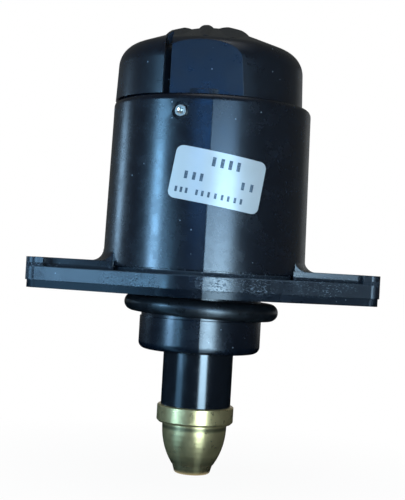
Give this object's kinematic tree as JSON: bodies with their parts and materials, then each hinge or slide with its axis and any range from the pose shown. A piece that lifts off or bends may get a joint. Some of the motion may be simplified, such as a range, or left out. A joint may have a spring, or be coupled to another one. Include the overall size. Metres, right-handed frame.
{
  "type": "idle air control valve",
  "caption": "Stepper-driven idle air valve: flanged round housing, connector cap, O-ring nose and a sliding plunger with a turned metal tip.",
  "frame": {"origin": "centre of the flange's mounting face, midway between the two bolt holes, on the valve axis", "axes": "+Z along the valve axis from the mounting face towards the connector, so the metal tip points -Z; +X along the long flange through both bolt holes; the label and the parting line face -Y"},
  "size_m": [0.065, 0.039, 0.0837],
  "materials": {
    "black_plastic": "satin moulded plastic, dusty and lightly scuffed",
    "contact_metal": "tinned",
    "pin_steel": "bright",
    "label_paper": "satin paper sticker, no print",
    "seal_rubber": "satin",
    "sleeve_steel": "zinc plated",
    "end_plate_metal": "die cast",
    "bearing_steel": "polished",
    "bronze": "sintered",
    "stator_steel": "pressed sheet, zinc plated",
    "bobbin_plastic": "natural nylon",
    "winding_copper": "enamelled wire",
    "magnet_ferrite": "sintered ferrite",
    "plunger_plastic": "glossy",
    "spindle_steel": "bright",
    "tip_brass": "turned, slightly dulled"
  },
  "bodies": {
    "valve_body": {"housing": "black_plastic", "connector_cap": "black_plastic", "terminal_1": "contact_metal", "terminal_2": "contact_metal", "terminal_3": "contact_metal", "terminal_4": "contact_metal", "locking_pin": "pin_steel", "label": "label_paper", "o_ring": "seal_rubber", "bolt_sleeves": "sleeve_steel", "front_end_plate": "end_plate_metal", "bearing_outer_ring": "bearing_steel", "stator_cup_front": "stator_steel", "pole_plate_front": "stator_steel", "stator_cup_rear": "stator_steel", "pole_plate_rear": "stator_steel", "bobbin_front": "bobbin_plastic", "bobbin_rear": "bobbin_plastic", "winding_front": "winding_copper", "winding_rear": "winding_copper", "preload_washer": "spindle_steel", "rear_bush": "bronze", "rear_end_plate": "end_plate_metal"},
    "rotor": {"rotor_magnet": "magnet_ferrite", "rotor_nut": "bronze", "bearing_inner_ring": "bearing_steel", "thrust_washer": "spindle_steel"},
    "ball_cage": {"bearing_cage": "bronze", "bearing_balls": "bearing_steel"},
    "pintle": {"plunger": "plunger_plastic", "valve_tip": "tip_brass", "lead_spindle": "spindle_steel"}
  },
  "joints": [
    {"name": "rotor_spin", "type": "hinge", "parent": "valve_body", "child": "rotor", "pos_m": [0, 0, 0.0206], "axis": [0, 0, 1], "range_deg": [-3060, 0]},
    {"name": "cage_spin", "type": "hinge", "parent": "valve_body", "child": "ball_cage", "pos_m": [0, 0, 0.01065], "axis": [0, 0, 1], "range_deg": [-1320, 0]},
    {"name": "plunger_slide", "type": "slide", "parent": "valve_body", "child": "pintle", "axis": [0, 0, 1], "range_m": [0, 0.0085]}
  ],
  "couplings": [
    {"joint": "cage_spin", "follows": "rotor_spin", "ratio": 0.395},
    {"joint": "plunger_slide", "follows": "rotor_spin", "m_per_rad": -0.00015915}
  ]
}
